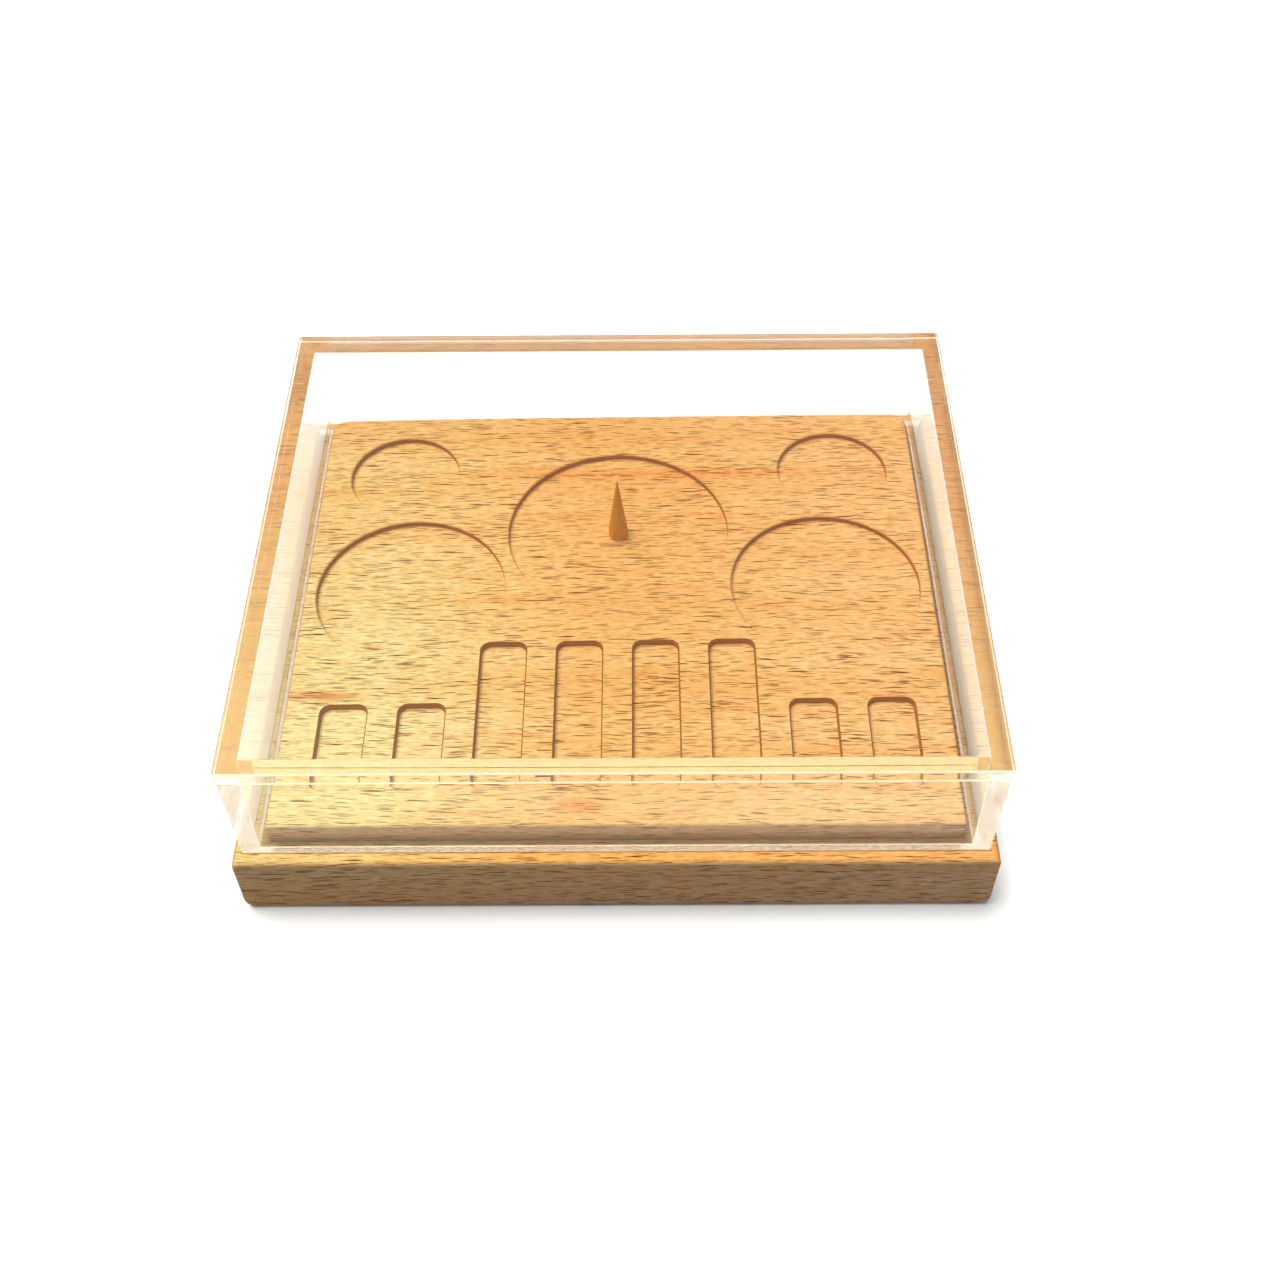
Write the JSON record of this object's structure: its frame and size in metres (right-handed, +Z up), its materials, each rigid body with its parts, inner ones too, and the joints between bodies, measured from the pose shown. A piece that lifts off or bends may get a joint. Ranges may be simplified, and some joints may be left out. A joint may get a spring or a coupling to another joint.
{
  "type": "watch parts storage box",
  "caption": "Beech parts tray with round recesses, narrow tray slots and a turned cone post, under a lift-off clear acrylic dust cover.",
  "frame": {"origin": "centre of the underside, where the board rests on the table", "axes": "+X to the right along the grain and the long side, +Y to the back, +Z up; the tray slots are at the front, the small round recesses at the back"},
  "size_m": [0.15, 0.1266, 0.0437],
  "materials": {
    "beech_board": "planed, routed and thinly oiled beech with short dark flecks along the grain",
    "turned_beech": "turned beech, oiled darker than the board",
    "clear_acrylic": "clear cast acrylic sheet with polished edges"
  },
  "bodies": {
    "base": {"base_board": "beech_board", "cone_post": "turned_beech"},
    "cover": {"cover_top_panel": "clear_acrylic", "cover_front_wall": "clear_acrylic", "cover_back_wall": "clear_acrylic", "cover_left_wall": "clear_acrylic", "cover_right_wall": "clear_acrylic"}
  },
  "joints": [
    {"name": "cover_lift", "type": "slide", "parent": "base", "child": "cover", "axis": [0, 0, 1], "range_m": [0, 0.06]}
  ]
}
